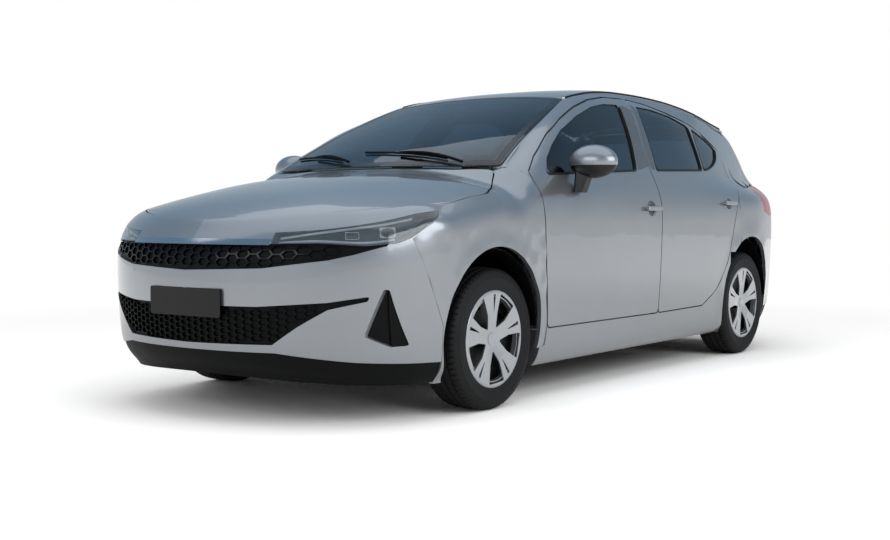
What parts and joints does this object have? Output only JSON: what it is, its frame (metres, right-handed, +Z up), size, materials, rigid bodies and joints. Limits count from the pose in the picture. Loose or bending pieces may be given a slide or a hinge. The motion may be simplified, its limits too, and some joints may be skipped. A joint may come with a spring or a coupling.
{
  "type": "five-door hatchback car",
  "caption": "Compact five-door hatchback car with opening doors, bonnet and tailgate, steered front wheels, covered steel wheels, seats and running gear.",
  "frame": {"origin": "on the ground under the centre of the car's bounding box", "axes": "+Z up, -Y towards the front of the car, +X towards the car's left side"},
  "size_m": [2.08, 4.3449, 1.4879],
  "materials": {
    "silver_paint": "gloss metallic",
    "tinted_glass": "gloss",
    "lamp_lens": "gloss",
    "lamp_housing": "gloss",
    "red_lens": "gloss",
    "bright_trim": "gloss",
    "black_plastic": "matte",
    "underbody_paint": "satin",
    "black_steel": "satin",
    "cast_metal": "matte",
    "core_metal": "matte",
    "exhaust_steel": "satin",
    "seat_fabric": "woven",
    "tyre_rubber": "matte",
    "wheel_silver": "satin"
  },
  "bodies": {
    "car_body": {"floor_pan": "underbody_paint", "firewall": "underbody_paint", "front_rails": "underbody_paint", "front_valance": "black_plastic", "rear_valance": "black_plastic", "headlamp_lenses": "lamp_lens", "side_frame_left": "silver_paint", "side_frame_right": "silver_paint", "roof_panel": "silver_paint", "front_fender_left": "silver_paint", "front_fender_right": "silver_paint", "front_bumper": "silver_paint", "front_grille": "black_plastic", "light_bar": "bright_trim", "headlamps": "lamp_housing", "tail_lamps": "red_lens", "rear_bumper": "silver_paint", "windscreen": "tinted_glass", "cowl_panel": "black_plastic", "wheelhouse_liners": "black_plastic", "front_subframe": "black_steel", "rear_axle": "black_steel", "engine_block": "cast_metal", "radiator": "core_metal", "fuel_tank": "black_steel", "exhaust": "exhaust_steel", "dashboard": "black_plastic", "steering_column": "black_plastic", "front_seats": "seat_fabric", "rear_seat": "seat_fabric"},
    "hood": {"hood": "silver_paint"},
    "tailgate": {"tailgate": "silver_paint", "tailgate_glass": "tinted_glass"},
    "front_door_left": {"front_door_left": "silver_paint", "front_door_glass_left": "tinted_glass", "mirror_left": "silver_paint"},
    "front_door_right": {"front_door_right": "silver_paint", "front_door_glass_right": "tinted_glass", "mirror_right": "silver_paint"},
    "rear_door_left": {"rear_door_left": "silver_paint", "rear_door_glass_left": "tinted_glass"},
    "rear_door_right": {"rear_door_right": "silver_paint", "rear_door_glass_right": "tinted_glass"},
    "front_knuckle_left": {"front_knuckle_left": "black_steel"},
    "front_knuckle_right": {"front_knuckle_right": "black_steel"},
    "wheel_front_left": {"wheel_front_left": "black_steel", "wheel_cover_front_left": "wheel_silver", "tyre_front_left": "tyre_rubber"},
    "wheel_front_right": {"wheel_front_right": "black_steel", "wheel_cover_front_right": "wheel_silver", "tyre_front_right": "tyre_rubber"},
    "wheel_rear_left": {"wheel_rear_left": "black_steel", "wheel_cover_rear_left": "wheel_silver", "tyre_rear_left": "tyre_rubber"},
    "wheel_rear_right": {"wheel_rear_right": "black_steel", "wheel_cover_rear_right": "wheel_silver", "tyre_rear_right": "tyre_rubber"},
    "steering_wheel": {"steering_wheel": "black_plastic"}
  },
  "joints": [
    {"name": "hood_hinge", "type": "hinge", "parent": "car_body", "child": "hood", "pos_m": [0, -0.9745, 0.995], "axis": [-1, 0, 0], "range_deg": [0, 52]},
    {"name": "tailgate_hinge", "type": "hinge", "parent": "car_body", "child": "tailgate", "pos_m": [0, 1.7455, 1.376], "axis": [1, 0, 0], "range_deg": [0, 78]},
    {"name": "front_door_left_hinge", "type": "hinge", "parent": "car_body", "child": "front_door_left", "pos_m": [0.862, -0.8675, 0.6], "axis": [0, 0, -1], "range_deg": [0, 65]},
    {"name": "rear_door_left_hinge", "type": "hinge", "parent": "car_body", "child": "rear_door_left", "pos_m": [0.862, 0.2425, 0.6], "axis": [0, 0, -1], "range_deg": [0, 68]},
    {"name": "steer_left", "type": "hinge", "parent": "car_body", "child": "front_knuckle_left", "pos_m": [0.68, -1.2225, 0.19], "axis": [-0.1755, 0, 0.9845], "range_deg": [-32, 32]},
    {"name": "wheel_front_left_spin", "type": "hinge", "parent": "front_knuckle_left", "child": "wheel_front_left", "pos_m": [0.7405, -1.2225, 0.297], "axis": [1, 0, 0], "continuous": true},
    {"name": "wheel_rear_left_spin", "type": "hinge", "parent": "car_body", "child": "wheel_rear_left", "pos_m": [0.736, 1.3665, 0.297], "axis": [1, 0, 0], "continuous": true},
    {"name": "front_door_right_hinge", "type": "hinge", "parent": "car_body", "child": "front_door_right", "pos_m": [-0.862, -0.8675, 0.6], "axis": [0, 0, 1], "range_deg": [0, 65]},
    {"name": "rear_door_right_hinge", "type": "hinge", "parent": "car_body", "child": "rear_door_right", "pos_m": [-0.862, 0.2425, 0.6], "axis": [0, 0, 1], "range_deg": [0, 68]},
    {"name": "steer_right", "type": "hinge", "parent": "car_body", "child": "front_knuckle_right", "pos_m": [-0.68, -1.2225, 0.19], "axis": [0.1755, 0, 0.9845], "range_deg": [-32, 32]},
    {"name": "wheel_front_right_spin", "type": "hinge", "parent": "front_knuckle_right", "child": "wheel_front_right", "pos_m": [-0.7405, -1.2225, 0.297], "axis": [1, 0, 0], "continuous": true},
    {"name": "wheel_rear_right_spin", "type": "hinge", "parent": "car_body", "child": "wheel_rear_right", "pos_m": [-0.736, 1.3665, 0.297], "axis": [1, 0, 0], "continuous": true},
    {"name": "steering_wheel_turn", "type": "hinge", "parent": "car_body", "child": "steering_wheel", "pos_m": [0.365, -0.5623, 0.88], "axis": [0, 0.9063, 0.4226], "range_deg": [-520, 520]}
  ],
  "couplings": [
    {"joint": "steer_right", "follows": "steer_left", "ratio": 1}
  ]
}
